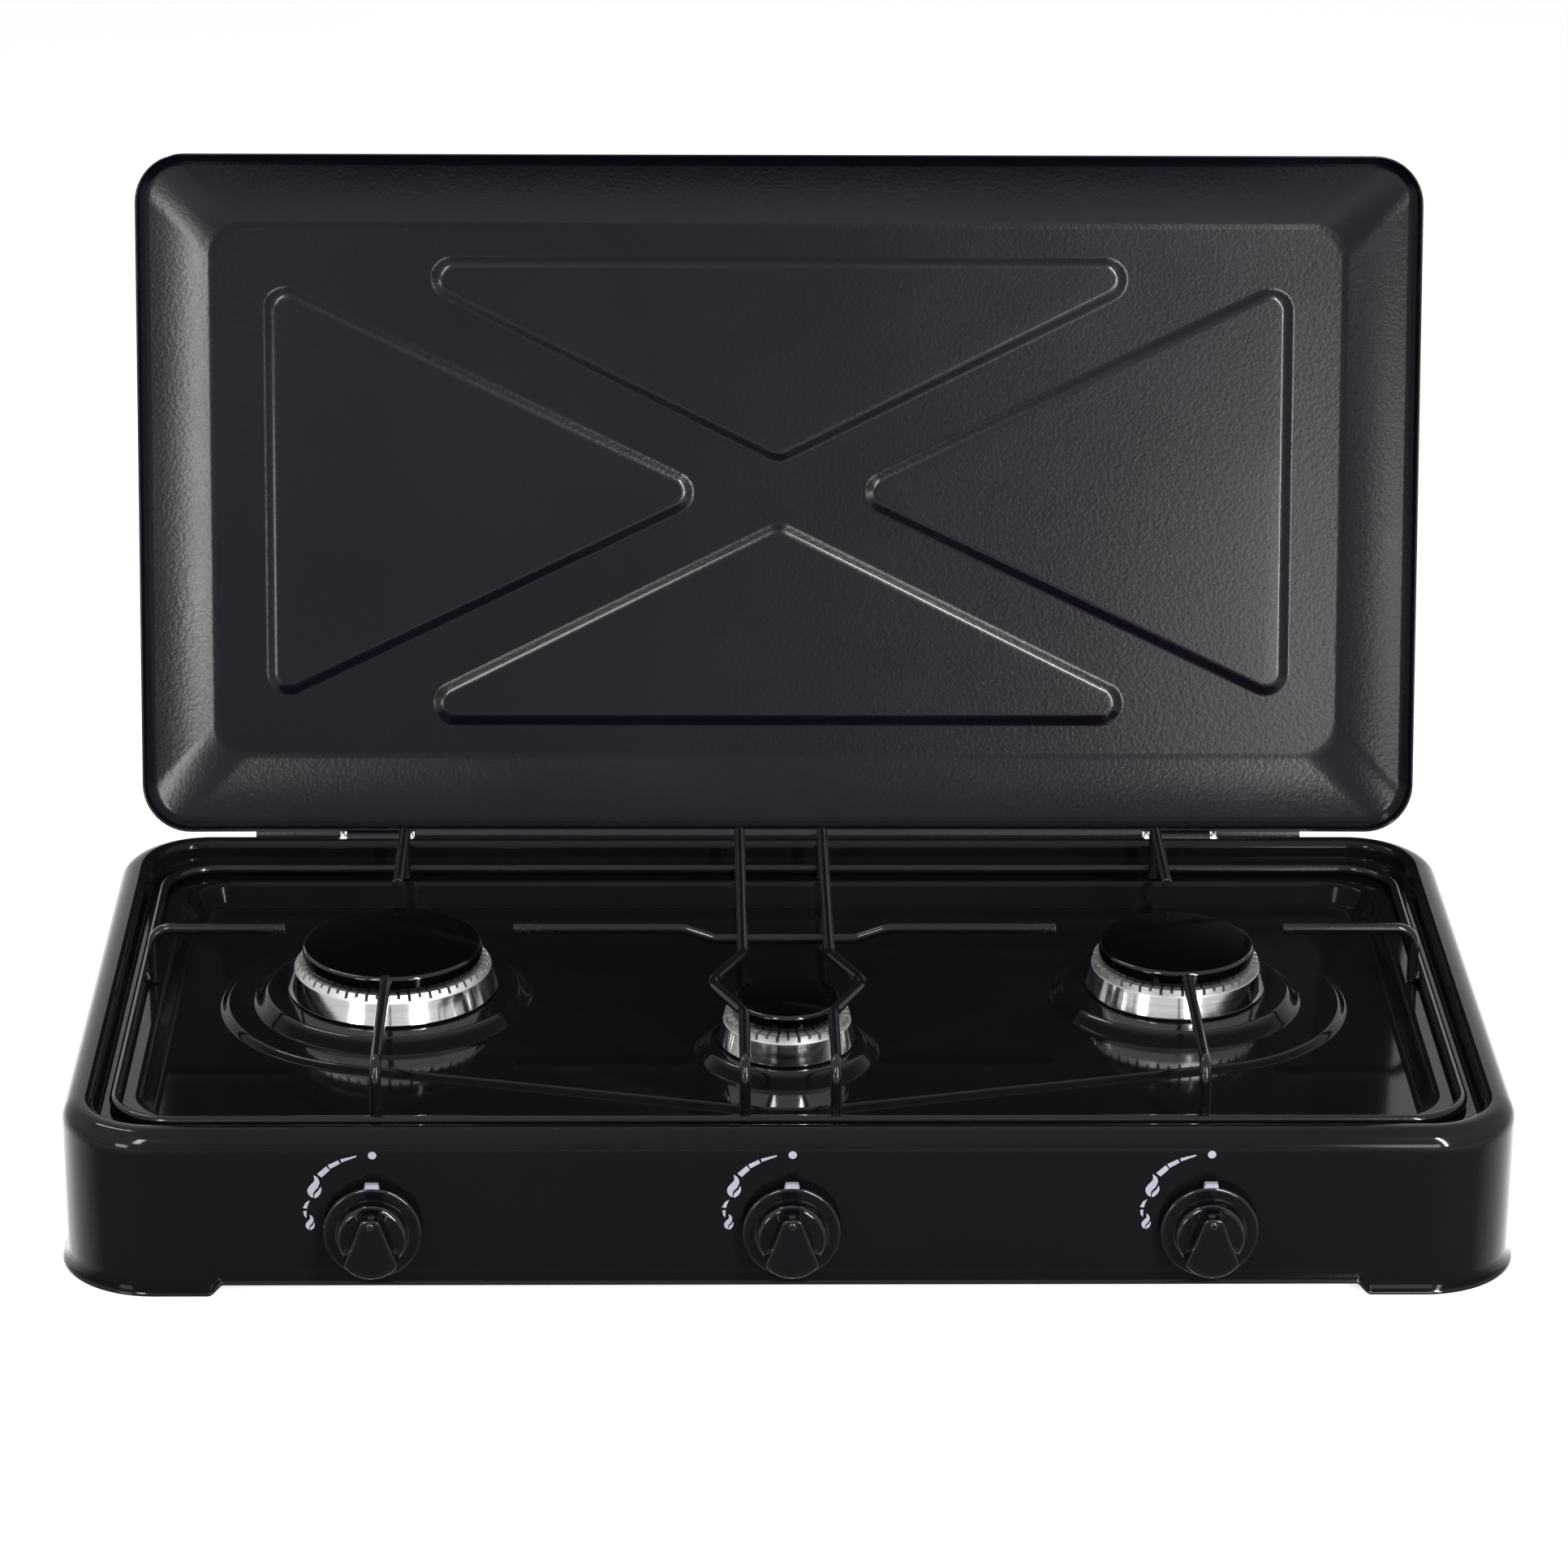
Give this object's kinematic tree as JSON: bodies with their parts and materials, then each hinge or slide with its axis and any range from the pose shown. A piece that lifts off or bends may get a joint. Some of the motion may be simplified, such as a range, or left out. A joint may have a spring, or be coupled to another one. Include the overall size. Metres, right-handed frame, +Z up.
{
  "type": "tabletop gas stove",
  "caption": "Tabletop gas stove: pressed casing with sunk hob, hinged lid, wire pan support, slotted burners with caps, push-and-turn knobs, valves, gas rail and rear inlet.",
  "frame": {"origin": "on the table under the middle of the casing", "axes": "+X to the user's right, +Y to the rear, +Z up"},
  "size_m": [0.6562, 0.4728, 0.4049],
  "materials": {
    "hob_enamel": "glossy black enamel",
    "lid_enamel": "satin black enamel",
    "wire_enamel": "half-gloss black enamel",
    "cap_enamel": "glossy black enamel",
    "burner_aluminium": "turned and polished",
    "knob_plastic": "half-gloss black",
    "brass": "plain brass",
    "plated_steel": "zinc plated"
  },
  "bodies": {
    "stove": {"casing": "hob_enamel", "hinge_bracket_left": "plated_steel", "hinge_bracket_right": "plated_steel", "hinge_pin_left": "plated_steel", "hinge_pin_right": "plated_steel", "burner_cup_left": "plated_steel", "burner_cup_centre": "plated_steel", "burner_cup_right": "plated_steel", "mixing_tube_left": "plated_steel", "mixing_tube_centre": "plated_steel", "mixing_tube_right": "plated_steel", "injector_left": "brass", "injector_centre": "brass", "injector_right": "brass", "valve_body_left": "brass", "valve_body_centre": "brass", "valve_body_right": "brass", "gas_rail": "plated_steel", "gas_inlet": "brass", "inlet_nut": "brass", "rail_straps": "plated_steel", "rail_bracket_left": "plated_steel", "rail_bracket_right": "plated_steel", "strap_screws": "plated_steel", "burner_screws": "plated_steel"},
    "lid": {"lid": "lid_enamel", "lid_leaf_left": "lid_enamel", "lid_leaf_right": "lid_enamel", "leaf_rivets": "lid_enamel"},
    "grate": {"grate_loop": "wire_enamel", "grate_finger_left": "wire_enamel", "grate_finger_right": "wire_enamel", "grate_finger_front_left": "wire_enamel", "grate_finger_front_right": "wire_enamel", "grate_finger_rear_left": "wire_enamel", "grate_finger_rear_right": "wire_enamel", "grate_centre_wire_left": "wire_enamel", "grate_centre_wire_right": "wire_enamel", "grate_cross_wire": "wire_enamel"},
    "head_left": {"burner_head_left": "burner_aluminium"},
    "cap_left": {"burner_cap_left": "cap_enamel"},
    "plug_left": {"valve_plug_left": "brass", "valve_spring_left": "plated_steel"},
    "knob_left": {"knob_left": "knob_plastic", "valve_spindle_left": "plated_steel"},
    "head_centre": {"burner_head_centre": "burner_aluminium"},
    "cap_centre": {"burner_cap_centre": "cap_enamel"},
    "plug_centre": {"valve_plug_centre": "brass", "valve_spring_centre": "plated_steel"},
    "knob_centre": {"knob_centre": "knob_plastic", "valve_spindle_centre": "plated_steel"},
    "head_right": {"burner_head_right": "burner_aluminium"},
    "cap_right": {"burner_cap_right": "cap_enamel"},
    "plug_right": {"valve_plug_right": "brass", "valve_spring_right": "plated_steel"},
    "knob_right": {"knob_right": "knob_plastic", "valve_spindle_right": "plated_steel"}
  },
  "joints": [
    {"name": "lid_hinge", "type": "hinge", "parent": "stove", "child": "lid", "pos_m": [0, 0.1715, 0.076], "axis": [-1, 0, 0], "range_deg": [-104.2, 0]},
    {"name": "grate_lift", "type": "slide", "parent": "stove", "child": "grate", "axis": [0, 0, 1], "range_m": [0, 0.06]},
    {"name": "head_lift_left", "type": "slide", "parent": "stove", "child": "head_left", "axis": [0, 0, 1], "range_m": [0, 0.01]},
    {"name": "cap_lift_left", "type": "slide", "parent": "head_left", "child": "cap_left", "axis": [0, 0, 1], "range_m": [0, 0.012]},
    {"name": "knob_turn_left", "type": "hinge", "parent": "stove", "child": "plug_left", "pos_m": [-0.185, -0.16, 0.0335], "axis": [0, -1, 0], "range_deg": [0, 90]},
    {"name": "knob_push_left", "type": "slide", "parent": "plug_left", "child": "knob_left", "axis": [0, 1, 0], "range_m": [0, 0.003], "stiffness_N_per_m": 1000, "springref_m": -0.003, "deforming": ["valve_spring_left"]},
    {"name": "head_lift_centre", "type": "slide", "parent": "stove", "child": "head_centre", "axis": [0, 0, 1], "range_m": [0, 0.01]},
    {"name": "cap_lift_centre", "type": "slide", "parent": "head_centre", "child": "cap_centre", "axis": [0, 0, 1], "range_m": [0, 0.012]},
    {"name": "knob_turn_centre", "type": "hinge", "parent": "stove", "child": "plug_centre", "pos_m": [0, -0.16, 0.0335], "axis": [0, -1, 0], "range_deg": [0, 90]},
    {"name": "knob_push_centre", "type": "slide", "parent": "plug_centre", "child": "knob_centre", "axis": [0, 1, 0], "range_m": [0, 0.003], "stiffness_N_per_m": 1000, "springref_m": -0.003, "deforming": ["valve_spring_centre"]},
    {"name": "head_lift_right", "type": "slide", "parent": "stove", "child": "head_right", "axis": [0, 0, 1], "range_m": [0, 0.01]},
    {"name": "cap_lift_right", "type": "slide", "parent": "head_right", "child": "cap_right", "axis": [0, 0, 1], "range_m": [0, 0.012]},
    {"name": "knob_turn_right", "type": "hinge", "parent": "stove", "child": "plug_right", "pos_m": [0.185, -0.16, 0.0335], "axis": [0, -1, 0], "range_deg": [0, 90]},
    {"name": "knob_push_right", "type": "slide", "parent": "plug_right", "child": "knob_right", "axis": [0, 1, 0], "range_m": [0, 0.003], "stiffness_N_per_m": 1000, "springref_m": -0.003, "deforming": ["valve_spring_right"]}
  ]
}
